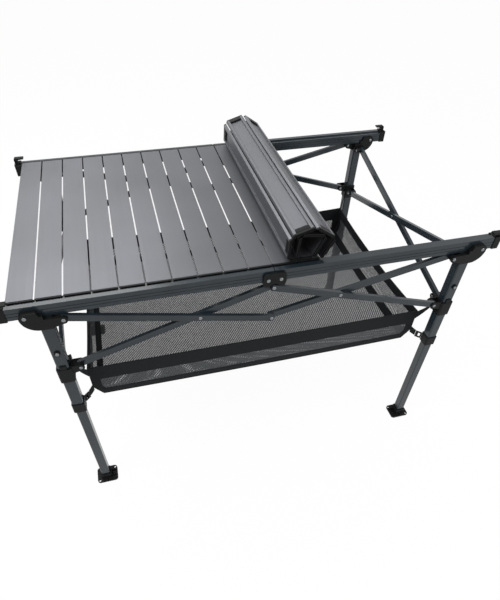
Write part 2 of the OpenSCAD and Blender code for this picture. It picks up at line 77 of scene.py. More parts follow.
# Places that the frame gives
CORNERS = ("near_left", "near_right", "far_left", "far_right")
SLATS_LOW, SLATS_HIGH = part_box("flat_slats")
CAPS_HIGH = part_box("flat_slat_caps")[1]
UNROLLS = [j for j in frame["joints"] if j["name"].startswith("unroll_")]
FIRST_HINGE = Vector(UNROLLS[0]["pos_m"])
SLAT_GAP = 2 * (FIRST_HINGE.x - SLATS_HIGH.x)
FLAT_COUNT = 12
SLAT_PITCH = (SLATS_HIGH.x - SLATS_LOW.x + SLAT_GAP) / FLAT_COUNT
BASKET_LOW, BASKET_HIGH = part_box("basket_mesh")
STRAPS_LOW, STRAPS_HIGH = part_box("basket_straps")


def length(name, description, default):
    """A property that holds a size in metres."""
    return bpy.props.FloatProperty(
        name=name, description=description, default=default, min=0, precision=5, unit="LENGTH"
    )


def angle(name, description, degrees):
    """A property that holds an angle, given in degrees."""
    return bpy.props.FloatProperty(
        name=name, description=description, default=math.radians(degrees), unit="ROTATION"
    )


def colour(name, description, default):
    """A property that holds an sRGB hex colour."""
    return bpy.props.StringProperty(name=name, description=description, default=default)


class SlatSettings(bpy.types.PropertyGroup):
    """Sizes and colours of the slats and their end caps."""

    taper: length("Taper", "How far the underside is drawn in along each edge", 3.7 * MM)
    skin: length("Skin", "Thickness of the upper skin", 1.6 * MM)
    rib: length("Rib", "Width of the rib along each edge", 7 * MM)
    tongue: length("Tongue", "Length of a cap's tongue under the skin", 16 * MM)
    edge: length("Edge", "Radius along the slat's edges", 0.7 * MM)
    rim: length("Rim", "Width of the rim round a cap's end", 1.3 * MM)
    hollow: length("Hollow", "Depth of the hollow in a cap's end", 2.2 * MM)
    metal: colour("Metal", "Colour of the anodised metal", "#67686C")
    streak: colour("Streak", "Colour of the darker brushed streaks", "#5F6063")
    cap: colour("Cap", "Colour of the end caps", "#0F1011")


class FrameSettings(bpy.types.PropertyGroup):
    """Edges and colours of the rails, legs and bars."""

    rail_edge: length("Rail edge", "Radius along the edges of a rail", 1.1 * MM)
    bar_edge: length("Bar edge", "Radius along the edges of a bar", 1.8 * MM)
    tube_edge: length("Tube edge", "Radius on the ends of a tube", 0.5 * MM)
    plastic_edge: length("Plastic edge", "Radius along the edges of a moulding", 0.9 * MM)
    rivet_edge: length("Rivet edge", "Radius on the head of a rivet", 1.8 * MM)
    coat: colour("Coat", "Colour of the powder coat", "#202A30")
    # Darker coat colour, mixed in at random by a broad cloud and as painted shade in the hollows of the
    # pebbled skin
    coat_shade_and_tone: colour("Coat dark", "Colour in the hollows of the powder coat", "#1B2228")
    plastic: colour("Plastic", "Colour of the moulded pieces", "#0C0D0D")
    steel: colour("Steel", "Colour of the rivets and buttons", "#7E8184")


class BasketSettings(bpy.types.PropertyGroup):
    """Sizes and colours of the slung basket."""

    sheet: length("Sheet", "Thickness of the mesh", 0.3 * MM)
    web: length("Webbing", "Thickness of the webbing with the mesh in it", 3.2 * MM)
    hem_long: length("Long hem", "Depth of the webbing along the long top edges", 46 * MM)
    hem_short: length("Short hem", "Depth of the webbing along the short top edges", 30 * MM)
    hem_low: length("Low hem", "Width of the webbing along the bottom edges and corners", 22 * MM)
    sag: length("Sag", "Drop of the floor's middle under its own weight", 11 * MM)
    edge_sag: length("Edge sag", "Drop of the bottom edges at mid-length", 5 * MM)
    rim_sag: length("Rim sag", "Drop of the top edges at mid-length", 8 * MM)
    bow: length("Bow", "How far the sides draw in at mid-length", 6 * MM)
    ripple: length("Ripple", "Height of the slack ripples in the floor", 2.2 * MM)
    thread_gap: length("Thread gap", "Distance between the mesh's slanted rows of holes", 6.2 * MM)
    cross_gap: length("Cross gap", "Distance between the threads that cross the rows", 2.4 * MM)
    draw_in: length("Draw in", "How far the sides draw in towards the floor", 5 * MM)
    flare: length("Flare", "How far the short sides stand out above the cut corners", 16 * MM)
    corner_cut: length("Corner cut", "Height of the slanted cut at the bottom corners", 37 * MM)
    strap: length("Strap", "Thickness of the corner tabs and lower straps", 1.8 * MM)
    tab_root: length("Tab root", "Width of a corner tab at the basket", 30 * MM)
    tab_end: length("Tab end", "Width of a corner tab at its far end", 12 * MM)
    strap_root: length("Strap root", "Width of a lower strap at the basket", 22 * MM)
    strap_end: length("Strap end", "Width of a lower strap at its hook", 20 * MM)
    net: colour("Net", "Colour of the mesh threads", "#404346")
    webbing: colour("Webbing", "Colour of the webbing", "#181A1C")


class StageSettings(bpy.types.PropertyGroup):
    """Camera, floor and light."""

    yaw: angle("Yaw", "Turn of the camera from +Y towards +X", 16.66)
    pitch: angle("Pitch", "How far the camera looks down", 46.89)
    roll: angle("Roll", "Turn of the camera about its own axis", 2.09)
    place: bpy.props.FloatVectorProperty(
        name="Place", description="Where the camera stands", default=(-0.297, -1.157, 1.380), unit="LENGTH"
    )
    focal: bpy.props.FloatProperty(
        name="Focal length", description="Focal length in pixels of a frame 600 pixels high", default=470.7
    )
    lift: bpy.props.FloatProperty(
        name="Lift", description="Pixels from the frame's middle down to the optical axis", default=50.0
    )
    floor: colour("Floor", "Colour of the floor", "#F7F7F7")
    white: bpy.props.FloatProperty(
        name="White", description="Share of the floor that looks white, the rest shaded", default=0.96
    )
    surround: bpy.props.FloatProperty(
        name="Surround", description="Strength of the light from all round", default=0.54
    )


def settings():
    """The scene's settings, one group per kind of piece."""
    scene = bpy.context.scene
    return scene.camp_slats, scene.camp_frame, scene.camp_basket, scene.camp_stage


# Colours and nodes


def linear(hex_code, share=1.0):
    """Linear RGBA of an sRGB hex colour, darkened or lightened by a share."""
    channels = []
    for i in (1, 3, 5):
        c = int(hex_code[i : i + 2], 16) / 255
        channels.append(share * (c / 12.92 if c <= 0.04045 else ((c + 0.055) / 1.055) ** 2.4))
    return (*channels, 1.0)


def add_node(tree, kind, options=None, **inputs):
    """Adds a node with its options, and sets or links its inputs.

    An input is given by its name, with underscores for spaces, or by i and its number.
    """
    node = tree.nodes.new(kind)
    for name, value in (options or {}).items():
        setattr(node, name, value)
    for name, value in inputs.items():
        socket = node.inputs[int(name[1:]) if name[1:].isdigit() else name.replace("_", " ")]
        if isinstance(value, bpy.types.NodeSocket):
            tree.links.new(value, socket)
        else:
            socket.default_value = value
    return node


def new_finish(name):
    """A material with an empty node tree, and its tree."""
    material = bpy.data.materials.new(name)
    material.use_nodes = True
    material.node_tree.nodes.clear()
    return material, material.node_tree


def close_finish(tree, shader):
    """Links a shader to the material's output."""
    add_node(tree, "ShaderNodeOutputMaterial", Surface=shader.outputs[0])


# Materials

# Options that several nodes share
COLOURS = {"data_type": "RGBA"}
ADD_SHARE = {"operation": "MULTIPLY_ADD"}
LARGER = {"operation": "MAXIMUM"}

# Distance between the bands of a wave texture at a scale of 1
WAVE_STEP = 2 * math.pi / 20


def anodised_aluminium(slats):
    """Anodised aluminium, brushed along the slat: a grey satin with soft lengthwise streaks."""
    material, tree = new_finish("anodised_aluminium")
    place = add_node(tree, "ShaderNodeTexCoord").outputs["Object"]
    # The brushing is a tenth of a millimetre wide, drawn 1.5 mm wide so that it shows
    brush_width, brush_length, cloud_size = 1.5 * MM, 260 * MM, 180 * MM
    streak = (1 / brush_width, 1 / brush_length, 1 / brush_width)
    brushed = add_node(tree, "ShaderNodeMapping", Vector=place, Scale=streak).outputs[0]
    lines = add_node(tree, "ShaderNodeTexNoise", Vector=brushed, Scale=1.0, Detail=3.0).outputs["Fac"]
    cloud = add_node(tree, "ShaderNodeTexNoise", Vector=place, Scale=1 / cloud_size, Detail=1.0)
    both = add_node(tree, "ShaderNodeMath", ADD_SHARE, i0=lines, i1=0.7, i2=cloud.outputs["Fac"])
    share = add_node(tree, "ShaderNodeMapRange", Value=both.outputs[0], From_Min=0.55, From_Max=1.15)
    tint = add_node(
        tree, "ShaderNodeMix", COLOURS, i0=share.outputs[0], i6=linear(slats.streak), i7=linear(slats.metal)
    )
    rough = add_node(
        tree, "ShaderNodeMapRange", Value=lines, From_Min=0.3, From_Max=0.7, To_Min=0.42, To_Max=0.54
    )
    bump = add_node(tree, "ShaderNodeBump", Strength=0.12, Distance=0.05 * MM, Height=lines)
    shader = add_node(
        tree,
        "ShaderNodeBsdfPrincipled",
        Base_Color=tint.outputs[2],
        Metallic=0.85,
        Roughness=rough.outputs[0],
        Normal=bump.outputs[0],
    )
    close_finish(tree, shader)
    return material


def powder_coat(coat):
    """Powder coat on steel and aluminium: slate grey, with a fine pebbled skin whose hollows carry painted
    shade, and a broad soft gloss.
    """
    material, tree = new_finish("slate_powder_coat")
    place = add_node(tree, "ShaderNodeTexCoord").outputs["Object"]
    # The pebbles are under half a millimetre across, drawn at 1.1 mm so that they show
    pebble_size, cloud_size = 1.1 * MM, 45 * MM
    pebbles = add_node(tree, "ShaderNodeTexNoise", Vector=place, Scale=1 / pebble_size, Detail=2.0)
    pebble = pebbles.outputs["Fac"]
    cloud = add_node(tree, "ShaderNodeTexNoise", Vector=place, Scale=1 / cloud_size, Detail=2.0)
    both = add_node(tree, "ShaderNodeMath", ADD_SHARE, i0=pebble, i1=0.6, i2=cloud.outputs["Fac"])
    share = add_node(tree, "ShaderNodeMapRange", Value=both.outputs[0], From_Min=0.5, From_Max=1.1)
    # Painted shade: the pebbles' hollows, low in the bump, take the darker colour, while the broad cloud
    # adds random tone
    tint = add_node(
        tree, "ShaderNodeMix", COLOURS, i0=share.outputs[0], i6=linear(coat.coat_shade_and_tone), i7=linear(coat.coat)
    )
    rough = add_node(
        tree, "ShaderNodeMapRange", Value=pebble, From_Min=0.3, From_Max=0.7, To_Min=0.18, To_Max=0.28
    )
    bump = add_node(tree, "ShaderNodeBump", Strength=0.15, Distance=0.08 * MM, Height=pebble)
    shader = add_node(
        tree,
        "ShaderNodeBsdfPrincipled",
        Base_Color=tint.outputs[2],
        Roughness=rough.outputs[0],
        Normal=bump.outputs[0],
        Specular_IOR_Level=0.4,
    )
    close_finish(tree, shader)
    return material


def moulded_plastic(name, hex_code):
    """Glass-filled nylon, moulded in a spark-eroded tool: near black, with a fine dull grain."""
    material, tree = new_finish(name)
    place = add_node(tree, "ShaderNodeTexCoord").outputs["Object"]
    # The grain is 0.2 mm, drawn at 0.9 mm so that it shows
    grain_size, flow_size = 0.9 * MM, 22 * MM
    grains = add_node(tree, "ShaderNodeTexNoise", Vector=place, Scale=1 / grain_size, Detail=3.0)
    grain = grains.outputs["Fac"]
    flow = add_node(tree, "ShaderNodeTexNoise", Vector=place, Scale=1 / flow_size, Detail=2.0)
    dark, light = linear(hex_code), linear(hex_code, 1.35)
    tint = add_node(tree, "ShaderNodeMix", COLOURS, i0=flow.outputs["Fac"], i6=dark, i7=light)
    rough = add_node(
        tree, "ShaderNodeMapRange", Value=grain, From_Min=0.3, From_Max=0.7, To_Min=0.42, To_Max=0.6
    )
    bump = add_node(tree, "ShaderNodeBump", Strength=0.2, Distance=0.06 * MM, Height=grain)
    shader = add_node(
        tree,
        "ShaderNodeBsdfPrincipled",
        Base_Color=tint.outputs[2],
        Roughness=rough.outputs[0],
        Normal=bump.outputs[0],
        Specular_IOR_Level=0.15,
    )
    close_finish(tree, shader)
    return material


def rivet_steel(coat):
    """Zinc-plated steel, headed cold: bright, with faint turned and handled marks."""
    material, tree = new_finish("plated_rivet_steel")
    place = add_node(tree, "ShaderNodeTexCoord").outputs["Object"]
    # The marks are a few tenths of a millimetre wide, drawn at 1.6 mm so that they show
    mark_size = 1.6 * MM
    marks = add_node(tree, "ShaderNodeTexNoise", Vector=place, Scale=1 / mark_size, Detail=3.0)
    mark = marks.outputs["Fac"]
    rough = add_node(
        tree, "ShaderNodeMapRange", Value=mark, From_Min=0.3, From_Max=0.7, To_Min=0.2, To_Max=0.34
    )
    bump = add_node(tree, "ShaderNodeBump", Strength=0.1, Distance=0.05 * MM, Height=mark)
    shader = add_node(
        tree,
        "ShaderNodeBsdfPrincipled",
        Base_Color=linear(coat.steel),
        Metallic=1.0,
        Roughness=rough.outputs[0],
        Normal=bump.outputs[0],
    )
    close_finish(tree, shader)
    return material


def woven_mesh(basket):
    """Coated polyester mesh: dull slanted threads with open gaps, which the ground shows through."""
    material, tree = new_finish("coated_polyester_mesh")
    cloth = add_node(tree, "ShaderNodeTexCoord").outputs["UV"]
    slub_size, soft_edge = 9 * MM, 0.1
    slants = []
    # The real threads are about 1 mm apart, drawn wider apart so that the slanted weave shows
    # Each set of threads has its slant in degrees, its gap, and the level of the wave where thread begins
    for degrees, gap, level in ((38, basket.thread_gap, 0.25), (-52, basket.cross_gap, 0.54)):
        slant = (0, 0, math.radians(degrees))
        turned = add_node(tree, "ShaderNodeMapping", Vector=cloth, Rotation=slant).outputs[0]
        wave = add_node(tree, "ShaderNodeTexWave", Vector=turned, Scale=WAVE_STEP / gap).outputs["Fac"]
        low, high = level - soft_edge, level + soft_edge
        thread = add_node(tree, "ShaderNodeMapRange", Value=wave, From_Min=low, From_Max=high)
        slants.append(thread.outputs[0])
    cover = add_node(tree, "ShaderNodeMath", LARGER, i0=slants[0], i1=slants[1]).outputs[0]
    slub = add_node(tree, "ShaderNodeTexNoise", Vector=cloth, Scale=1 / slub_size, Detail=2.0)
    dark, light = linear(basket.net, 0.75), linear(basket.net, 1.25)
    tint = add_node(tree, "ShaderNodeMix", COLOURS, i0=slub.outputs["Fac"], i6=dark, i7=light)
    bump = add_node(tree, "ShaderNodeBump", Strength=0.5, Distance=0.4 * MM, Height=cover)
    shader = add_node(
        tree,
        "ShaderNodeBsdfPrincipled",
        Base_Color=tint.outputs[2],
        Roughness=0.7,
        Alpha=cover,
        Normal=bump.outputs[0],
    )
    close_finish(tree, shader)
    return material


def black_webbing(basket):
    """Polyester webbing: black, dull, with a fine rib across its length."""
    material, tree = new_finish("ribbed_polyester_webbing")
    cloth = add_node(tree, "ShaderNodeTexCoord").outputs["UV"]
    # The ribs are 1 mm apart, drawn at 2.4 mm so that they show
    rib_gap, slub_size = 2.4 * MM, 6 * MM
    rib = add_node(tree, "ShaderNodeTexWave", Vector=cloth, Scale=WAVE_STEP / rib_gap).outputs["Fac"]
    slub = add_node(tree, "ShaderNodeTexNoise", Vector=cloth, Scale=1 / slub_size, Detail=2.0)
    both = add_node(tree, "ShaderNodeMath", ADD_SHARE, i0=rib, i1=0.5, i2=slub.outputs["Fac"]).outputs[0]
    share = add_node(tree, "ShaderNodeMapRange", Value=both, From_Min=0.3, From_Max=1.2)
    dark, light = linear(basket.webbing, 0.6), linear(basket.webbing, 1.3)
    tint = add_node(tree, "ShaderNodeMix", COLOURS, i0=share.outputs[0], i6=dark, i7=light)
    bump = add_node(tree, "ShaderNodeBump", Strength=0.4, Distance=0.3 * MM, Height=both)
    shader = add_node(
        tree,
        "ShaderNodeBsdfPrincipled",
        Base_Color=tint.outputs[2],
        Roughness=0.85,
        Normal=bump.outputs[0],
        Specular_IOR_Level=0.2,
    )
    close_finish(tree, shader)
    return material


# Modelling

# Points of a frame node closer than this are one
WELD = 0.002 * MM
# Faces that turn by less than this are one flat face
FLAT_TURN = math.radians(0.5)
# Edges of a frame node that turn by more than this are rounded
EDGE_TURN = math.radians(35)
# A point this close to a plane lies on it, and one this far from it is clear of it
ON_PLANE, OFF_PLANE = 0.01 * MM, 0.1 * MM
# The share of a face's normal along an axis from which the face looks that way
FACING = 0.9


def deselect():
    """Leaves edit mode and deselects every object."""
    if bpy.context.object and bpy.context.object.mode != "OBJECT":
        bpy.ops.object.mode_set(mode="OBJECT")
    bpy.ops.object.select_all(action="DESELECT")


def choose(obj):
    """Makes a piece the only selected and active one."""
    deselect()
    obj.select_set(True)
    bpy.context.view_layer.objects.active = obj
    return obj


def edit(obj):
    """Opens a piece in edit mode."""
    choose(obj)
    bpy.ops.object.mode_set(mode="EDIT")


def start_box(name, low, high):
    """A box between two corners, the start of a piece, opened in edit mode."""
    deselect()
    low, high = Vector(low), Vector(high)
    bpy.ops.mesh.primitive_cube_add(size=1, location=(low + high) / 2, scale=high - low)
    obj = bpy.context.object
    obj.name = obj.data.name = name
    bpy.ops.object.transform_apply(location=True, rotation=True, scale=True)
    edit(obj)
    return obj


def pick(obj, kind, test):
    """Selects only the faces or edges of a piece in edit mode that pass a test."""
    bpy.ops.mesh.select_mode(type=kind)
    bpy.ops.mesh.select_all(action="DESELECT")
    mesh = bmesh.from_edit_mesh(obj.data)
    for item in mesh.faces if kind == "FACE" else mesh.edges:
        if test(item):
            item.select_set(True)
    mesh.select_flush_mode()
    bmesh.update_edit_mesh(obj.data)


def middle(edge):
    """The middle of an edge."""
    return (edge.verts[0].co + edge.verts[1].co) / 2


def is_sharp(edge, degrees=30):
    """Whether an edge turns by more than an angle."""
    return len(edge.link_faces) == 2 and edge.calc_face_angle(0) > math.radians(degrees)


def smooth(obj):
    """Shades a piece smooth with flat faces kept flat."""
    choose(obj)
    bpy.ops.object.shade_smooth()
    bpy.ops.object.modifier_add(type="WEIGHTED_NORMAL")
    obj.modifiers[-1].keep_sharp = True
    bpy.ops.object.modifier_apply(modifier=obj.modifiers[-1].name)
    return obj


def copy_piece(obj, name, matrix):
    """A copy of a piece with its own mesh, moved by a matrix."""
    mesh = obj.data.copy()
    mesh.transform(matrix)
    mesh.name = name
    copy = bpy.data.objects.new(name, mesh)
    bpy.context.scene.collection.objects.link(copy)
    return copy


def join(pieces, name):
    """Joins pieces into the first one, under a name."""
    choose(pieces[0])
    for piece in pieces[1:]:
        piece.select_set(True)
    if len(pieces) > 1:
        bpy.ops.object.join()
    pieces[0].name = pieces[0].data.name = name
    return pieces[0]


def remove(obj):
    """Deletes a piece that was only modelled to be copied."""
    bpy.data.objects.remove(obj)


def dress(obj, material, body, slot, *nodes):
    """Gives a piece its finish and its body, and hides the nodes that it stands for; its slot is not used.
    """
    obj.data.materials.clear()
    obj.data.materials.append(material)
    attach(obj, body)
    if nodes:
        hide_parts(*nodes)
    return obj


def eased_copy(node, name, width, material, slot, segments=2):
    """A copy of a frame node with its edges rounded, standing for the node."""
    source = frame["nodes"][node]
    obj = copy_piece(source, name, Matrix.Identity(4))
    edit(obj)
    bpy.ops.mesh.customdata_custom_splitnormals_clear()
    bpy.ops.mesh.select_all(action="SELECT")
    bpy.ops.mesh.remove_doubles(threshold=WELD)
    bpy.ops.mesh.dissolve_limited(angle_limit=FLAT_TURN)
    bpy.ops.object.mode_set(mode="OBJECT")
    bpy.ops.object.modifier_add(type="BEVEL")
    bevel = obj.modifiers[-1]
    bevel.width = width
    bevel.segments = segments
    bevel.limit_method = "ANGLE"
    bevel.angle_limit = EDGE_TURN
    bevel.miter_outer = "MITER_ARC"
    bpy.ops.object.modifier_apply(modifier=bevel.name)
    smooth(obj)
    return dress(obj, material, source["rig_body"], slot, node)


# Slats


def slat_places():
    """The hinge and heading of each slat, flat ones first."""
    first = SLATS_LOW.x - SLAT_GAP / 2
    flat = [(Vector((first + k * SLAT_PITCH, 0, FIRST_HINGE.z)), 0.0) for k in range(FLAT_COUNT)]
    rolled, heading = [], 0.0
    for joint in UNROLLS:
        # Some ranges end a hundredth of a degree past flat, which the rounding takes off
        heading += round(joint["range_deg"][1], 1)
        rolled.append((Vector(joint["pos_m"]), math.radians(heading)))
    return flat, rolled


def slat_matrix(place):
    """Moves a slat from the origin to its hinge and heading."""
    hinge, heading = place
    return Matrix.Translation(hinge) @ Matrix.Rotation(-heading, 4, "Y")


def slat_section(slats):
    """The slat's section: its left, right, bottom and top, and the left and right walls of its channel."""
    left, right = SLAT_GAP / 2, SLAT_PITCH - SLAT_GAP / 2
    top = SLATS_HIGH.z - FIRST_HINGE.z
    low = SLATS_LOW.z - FIRST_HINGE.z
    wall = slats.taper + slats.rib
    return left, right, low, top, left + wall, right - wall


def draw_in_underside(obj, slats):
    """Narrows the underside of a slat or cap, so that slats can roll."""
    left, right = slat_section(slats)[:2]
    share = 1 - 2 * slats.taper / (right - left)
    pick(obj, "FACE", lambda f: f.normal.z < -FACING)
    bpy.ops.transform.resize(value=(share, 1, 1), center_override=((left + right) / 2, 0, 0))


def model_slat(slats):
    """One slat at the origin: a skin on two ribs with an open channel between them."""
    left, right, low, top, wall_a, wall_b = slat_section(slats)
    end = SLATS_HIGH.y
    obj = start_box("slat", (left, -end, low), (right, end, top))
    draw_in_underside(obj, slats)
    ceiling = top - slats.skin
    cuts = [((wall_a, 0, 0), (1, 0, 0)), ((wall_b, 0, 0), (1, 0, 0)), ((0, 0, ceiling), (0, 0, 1))]
    for point, normal in cuts:
        bpy.ops.mesh.select_all(action="SELECT")
        bpy.ops.mesh.bisect(plane_co=point, plane_no=normal)
    pick(
        obj,
        "FACE",
        lambda f: wall_a < f.calc_center_median().x < wall_b and f.calc_center_median().z < ceiling,
    )
    bpy.ops.mesh.delete(type="FACE")
    for wall in (wall_a, wall_b):
        pick(obj, "EDGE", lambda e: e.is_boundary and abs(middle(e).x - wall) < ON_PLANE)
        bpy.ops.mesh.edge_face_add()
    pick(obj, "EDGE", lambda e: e.is_boundary)
    bpy.ops.mesh.edge_face_add()
    bpy.ops.mesh.select_all(action="SELECT")
    bpy.ops.mesh.normals_make_consistent(inside=False)
    pick(obj, "EDGE", lambda e: is_sharp(e) and abs((e.verts[1].co - e.verts[0].co).y) > end)
    bpy.ops.mesh.bevel(offset=slats.edge, segments=2, affect="EDGES")
    return smooth(obj)


def model_cap(slats):
    """One end cap at the origin, on the far end: a hollowed end plate and a tongue under the skin."""
    left, right, low, top, wall_a, wall_b = slat_section(slats)
    near, end = SLATS_HIGH.y, CAPS_HIGH.y
    plate = start_box("cap_plate", (left, near, low), (right, end, top))
    draw_in_underside(plate, slats)
    pick(plate, "FACE", lambda f: f.normal.y > FACING)
    bpy.ops.mesh.inset(thickness=slats.rim)
    bpy.ops.mesh.extrude_region_move(TRANSFORM_OT_translate={"value": (0, -slats.hollow, 0)})
    pick(plate, "EDGE", lambda e: is_sharp(e, degrees=50) and middle(e).y > near + OFF_PLANE)
    bpy.ops.mesh.bevel(offset=slats.edge / 2, segments=2, affect="EDGES")
    slip, tip_share = 0.15 * MM, 0.94
    tongue_low = (wall_a + slip, near - slats.tongue, low)
    tongue_high = (wall_b - slip, near, top - slats.skin - slip)
    tongue = start_box("cap_tongue", tongue_low, tongue_high)
    pick(tongue, "FACE", lambda f: f.normal.y < -FACING)
    bpy.ops.transform.resize(value=(tip_share, 1, 1), center_override=((left + right) / 2, 0, 0))
    pick(tongue, "EDGE", lambda e: is_sharp(e) and middle(e).y < near - OFF_PLANE)
    bpy.ops.mesh.bevel(offset=slats.edge, segments=2, affect="EDGES")
    return smooth(join([smooth(plate), smooth(tongue)], "cap"))


def mirrored_cap(obj, name):
    """A copy of a far cap for the near end, mirrored about the slat's middle."""
    copy = copy_piece(obj, name, Matrix.Scale(-1, 4, (0, 1, 0)))
    edit(copy)
    bpy.ops.mesh.select_all(action="SELECT")
    bpy.ops.mesh.flip_normals()
    return smooth(copy)


class CAMP_OT_slats(bpy.types.Operator):
    """Makes the flat and rolled slats with their end caps"""

    bl_idname = "object.camp_table_slats"
    bl_label = "Slats and Caps"

    def execute(self, context):
        slats = settings()[0]
        metal = anodised_aluminium(slats)
        plastic = moulded_plastic("moulded_cap_nylon", slats.cap)
        slat = model_slat(slats)
        far_cap = model_cap(slats)
        near_cap = mirrored_cap(far_cap, "near_cap")
        flat, rolled = slat_places()
        matrices = [slat_matrix(p) for p in flat]
        pieces = [copy_piece(slat, f"slat_copy_{i}", m) for i, m in enumerate(matrices)]
        dress(join(pieces, "slats_flat"), metal, "frame", "slat_aluminium", "flat_slats")
        ends = (far_cap, near_cap)
        pieces = [copy_piece(c, f"cap_copy_{i}", m) for c in ends for i, m in enumerate(matrices)]
        dress(join(pieces, "slat_caps_flat"), plastic, "frame", "slat_cap_plastic", "flat_slat_caps")
        for k, place in enumerate(rolled, 1):
            matrix = slat_matrix(place)
            piece = copy_piece(slat, f"slat_rolled_{k}", matrix)
            dress(piece, metal, f"slat_{k}", "slat_aluminium", f"roll_slat_{k}")
            pair = [copy_piece(c, f"cap_copy_{k}_{i}", matrix) for i, c in enumerate(ends)]
            caps = join(pair, f"slat_caps_rolled_{k}")
            dress(caps, plastic, f"slat_{k}", "slat_cap_plastic", f"roll_slat_{k}")
        for model in (slat, *ends):
            remove(model)
        return {"FINISHED"}


# Frame


class CAMP_OT_rails(bpy.types.Operator):
    """Makes the rails, their end caps and the centre brackets"""

    bl_idname = "object.camp_table_rails"
    bl_label = "Rails"

    def execute(self, context):
        coat = settings()[1]
        paint = bpy.data.materials["slate_powder_coat"]
        plastic = bpy.data.materials["moulded_frame_nylon"]
        for c in CORNERS:
            eased_copy(f"rail_{c}", f"coated_rail_{c}", coat.rail_edge, paint, "frame_coat")
        for node in ("rail_end_caps", "centre_bracket_near", "centre_bracket_far"):
            eased_copy(node, f"moulded_{node}", coat.plastic_edge, plastic, "frame_plastic")
        return {"FINISHED"}


class CAMP_OT_legs(bpy.types.Operator):
    """Makes the leg brackets, tubes, sliders, collars, buttons and feet"""

    bl_idname = "object.camp_table_legs"
    bl_label = "Legs"

    def execute(self, context):
        coat = settings()[1]
        paint = bpy.data.materials["slate_powder_coat"]
        plastic = bpy.data.materials["moulded_frame_nylon"]
        steel = bpy.data.materials["plated_rivet_steel"]
        for c in CORNERS:
            for node in (f"outer_leg_{c}", f"inner_leg_{c}"):
                eased_copy(node, f"coated_{node}", coat.tube_edge, paint, "frame_coat")
            for node in (f"leg_bracket_{c}", f"slider_{c}", f"foot_{c}"):
                eased_copy(node, f"moulded_{node}", coat.plastic_edge, plastic, "frame_plastic")
            eased_copy(f"lock_button_{c}", f"plated_lock_button_{c}", coat.tube_edge, steel, "rivet_steel")
        for node in ("leg_collars", "button_rings"):
            eased_copy(node, f"moulded_{node}", coat.plastic_edge, plastic, "frame_plastic")
        return {"FINISHED"}


class CAMP_OT_scissors(bpy.types.Operator):
    """Makes the crossed bars and their rivets"""

    bl_idname = "object.camp_table_scissors"
    bl_label = "Scissor Frame"

    def execute(self, context):
        coat = settings()[1]
        paint = bpy.data.materials["slate_powder_coat"]
        bars = [f"{kind}_bar_{c}" for kind in ("top", "slider") for c in CORNERS]
        bars += [f"cross_bar_{side}_{i}" for side in ("left", "right") for i in (1, 2)]
        for node in bars:
            eased_copy(node, f"coated_{node}", coat.bar_edge, paint, "frame_coat")
        steel = bpy.data.materials["plated_rivet_steel"]
        eased_copy(
            "frame_rivets", "plated_frame_rivets", coat.rivet_edge, steel, "rivet_steel", segments=3
        )
        return {"FINISHED"}


# Basket

SIDES = ("near", "far", "left", "right")
LONG_SIDES = SIDES[:2]
# Faces along and across each kind of cloth
FLOOR_STEPS = (96, 64)
SIDE_STEPS = (60, 9)
HEM_STEPS = (60, 4)
BAND_STEPS = (60, 3)
CORNER_STEPS = (4, 6)
STRAP_STEPS = (10, 4)
# Cloth that turns by more than this has a sharp edge
CLOTH_TURN = math.radians(40)
# The floor's slack: two swells that cross and a finer ripple, in radians along each axis from the middle out
SWELL_ALONG, SWELL_ACROSS, FINE_RIPPLE = (9, 4), (-3, 5), (17, -11)
SWELL_SHIFT, FINE_SHARE = 0.6, 0.5
# How much of a side's bow there is at its bottom edge
LOW_BOW = 0.35
# A strap's sag as a share of its length, and how close to its tip a point belongs to its end face
STRAP_SLACK, STRAP_TIP = 0.04, 1.2 * MM


def arch(t):
    """1 in the middle of an edge and 0 at its ends, for t from -1 to 1."""
    return 1 - t * t


def cloth_grid(name, point, flat, steps):
    """A grid of cloth through point(u, v), for u and v from 0 to 1, with a UV map in metres of cloth."""
    deselect()
    bpy.ops.mesh.primitive_grid_add(x_subdivisions=steps[0], y_subdivisions=steps[1], size=1)
    obj = bpy.context.object
    obj.name = obj.data.name = name
    shares = [(v.co.x + 0.5, v.co.y + 0.5) for v in obj.data.vertices]
    layer = obj.data.uv_layers[0].data
    for loop in obj.data.loops:
        u, v = shares[loop.vertex_index]
        layer[loop.index].uv = (u * flat[0], v * flat[1])
    for vertex, (u, v) in zip(obj.data.vertices, shares):
        vertex.co = point(u, v)
    edit(obj)
    bpy.ops.mesh.select_all(action="SELECT")
    bpy.ops.mesh.normals_make_consistent(inside=False)
    bpy.ops.object.mode_set(mode="OBJECT")
    return obj


def thicken(obj, thickness):
    """Gives a cloth grid its thickness, half to each side."""
    choose(obj)
    bpy.ops.object.modifier_add(type="SOLIDIFY")
    obj.modifiers[-1].thickness = thickness
    obj.modifiers[-1].offset = 0
    bpy.ops.object.modifier_apply(modifier=obj.modifiers[-1].name)
    bpy.ops.object.shade_smooth_by_angle(angle=CLOTH_TURN)
    return obj


def wave_angle(turns, s, t):
    """The angle of a ripple at s along and t across the floor."""
    return turns[0] * s + turns[1] * t


def floor_point(u, v, basket):
    """A point of the slack floor: edge_sag down at the middle of an edge, sag down at the centre."""
    s, t = 2 * u - 1, 2 * v - 1
    slack = arch(s) * arch(t)
    drop = arch(s) + arch(t) - slack * (2 - basket.sag / basket.edge_sag)
    swell = math.sin(wave_angle(SWELL_ALONG, s, t)) * math.sin(wave_angle(SWELL_ACROSS, s, t) + SWELL_SHIFT)
    wave = swell + FINE_SHARE * math.sin(wave_angle(FINE_RIPPLE, s, t))
    z = BASKET_LOW.z + basket.sheet - basket.edge_sag * drop + basket.ripple * slack * wave
    return (s * (BASKET_HIGH.x - basket.draw_in), t * (BASKET_HIGH.y - basket.draw_in), z)


def side_reach(h, basket):
    """How far the corners of the sides reach in X and Y, at h from 0 at the bottom to 1 at the top."""
    rise = min(1, h * (BASKET_HIGH.z - BASKET_LOW.z) / basket.corner_cut)
    inward = basket.draw_in * (1 - rise)
    return BASKET_HIGH.x + basket.flare * rise - inward, BASKET_HIGH.y - inward


